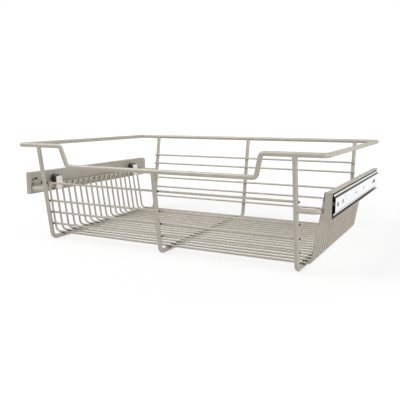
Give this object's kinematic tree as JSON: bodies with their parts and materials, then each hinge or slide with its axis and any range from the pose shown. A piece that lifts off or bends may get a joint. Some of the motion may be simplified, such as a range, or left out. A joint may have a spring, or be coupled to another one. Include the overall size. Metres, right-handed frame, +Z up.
{
  "type": "pull-out cabinet basket",
  "caption": "Welded wire basket with a dipped front rail, hung by clips on a pair of full-extension ball-bearing slides under sheet covers.",
  "frame": {"origin": "middle of the basket's width and of the rim's depth, on the level of the lowest wires", "axes": "+X to the right, +Y to the back of the cabinet, +Z up; the basket pulls out along -Y"},
  "size_m": [0.6052, 0.437, 0.189],
  "materials": {
    "nickel_paint": "satin nickel powder coat on steel wire and sheet",
    "zinc_steel": "bright zinc-plated cold-rolled steel",
    "satin_steel": "satin plated steel plate",
    "ball_steel": "polished ball-bearing steel",
    "black_plastic": "glossy black moulded post",
    "lever_plastic": "matt black moulded lever",
    "buffer_rubber": "black rubber buffer"
  },
  "bodies": {
    "cabinet_side": {"cabinet_member_left": "zinc_steel", "cabinet_member_right": "zinc_steel", "rear_bumper_left": "buffer_rubber", "rear_bumper_right": "buffer_rubber"},
    "outer_cages": {"outer_ball_cage_left": "zinc_steel", "outer_ball_cage_right": "zinc_steel", "outer_balls_left": "ball_steel", "outer_balls_right": "ball_steel"},
    "intermediates": {"intermediate_member_left": "zinc_steel", "intermediate_member_right": "zinc_steel"},
    "inner_cages": {"inner_ball_cage_left": "zinc_steel", "inner_ball_cage_right": "zinc_steel", "inner_balls_left": "ball_steel", "inner_balls_right": "ball_steel"},
    "basket": {"rim_wire": "nickel_paint", "frame_wire_left": "nickel_paint", "frame_wire_center": "nickel_paint", "frame_wire_right": "nickel_paint", "side_rail_left": "nickel_paint", "side_rail_right": "nickel_paint", "cross_wire_01": "nickel_paint", "cross_wire_02": "nickel_paint", "cross_wire_03": "nickel_paint", "cross_wire_04": "nickel_paint", "cross_wire_05": "nickel_paint", "cross_wire_06": "nickel_paint", "cross_wire_07": "nickel_paint", "cross_wire_08": "nickel_paint", "cross_wire_09": "nickel_paint", "cross_wire_10": "nickel_paint", "cross_wire_11": "nickel_paint", "cross_wire_12": "nickel_paint", "cross_wire_13": "nickel_paint", "cross_wire_14": "nickel_paint", "cross_wire_15": "nickel_paint", "cross_wire_16": "nickel_paint", "cross_wire_17": "nickel_paint", "cross_wire_18": "nickel_paint", "back_wire_1": "nickel_paint", "back_wire_2": "nickel_paint", "back_wire_3": "nickel_paint", "back_wire_4": "nickel_paint", "back_wire_5": "nickel_paint", "front_wire_1": "nickel_paint", "front_wire_2": "nickel_paint", "front_wire_3": "nickel_paint", "front_wire_4": "nickel_paint", "rail_saddles": "nickel_paint", "clip_posts": "black_plastic", "keeper_plates": "satin_steel", "clip_screws": "zinc_steel", "drawer_member_left": "zinc_steel", "drawer_member_right": "zinc_steel", "slide_cover_left": "nickel_paint", "slide_cover_right": "nickel_paint"},
    "lever_left": {"release_lever_left": "lever_plastic"},
    "lever_right": {"release_lever_right": "lever_plastic"}
  },
  "joints": [
    {"name": "basket_slide", "type": "slide", "parent": "cabinet_side", "child": "basket", "axis": [0, -1, 0], "range_m": [0, 0.38]},
    {"name": "intermediate_slide", "type": "slide", "parent": "cabinet_side", "child": "intermediates", "axis": [0, -1, 0], "range_m": [0, 0.19]},
    {"name": "outer_cage_slide", "type": "slide", "parent": "cabinet_side", "child": "outer_cages", "axis": [0, -1, 0], "range_m": [0, 0.095]},
    {"name": "inner_cage_slide", "type": "slide", "parent": "cabinet_side", "child": "inner_cages", "axis": [0, -1, 0], "range_m": [0, 0.285]},
    {"name": "lever_left_turn", "type": "hinge", "parent": "basket", "child": "lever_left", "pos_m": [-0.2926, 0.034, 0.11], "axis": [1, 0, 0], "range_deg": [-8, 8], "stiffness_Nm_per_rad": 0.05},
    {"name": "lever_right_turn", "type": "hinge", "parent": "basket", "child": "lever_right", "pos_m": [0.2926, 0.034, 0.11], "axis": [1, 0, 0], "range_deg": [-8, 8], "stiffness_Nm_per_rad": 0.05}
  ],
  "couplings": [
    {"joint": "intermediate_slide", "follows": "basket_slide", "ratio": 0.5},
    {"joint": "outer_cage_slide", "follows": "basket_slide", "ratio": 0.25},
    {"joint": "inner_cage_slide", "follows": "basket_slide", "ratio": 0.75}
  ]
}
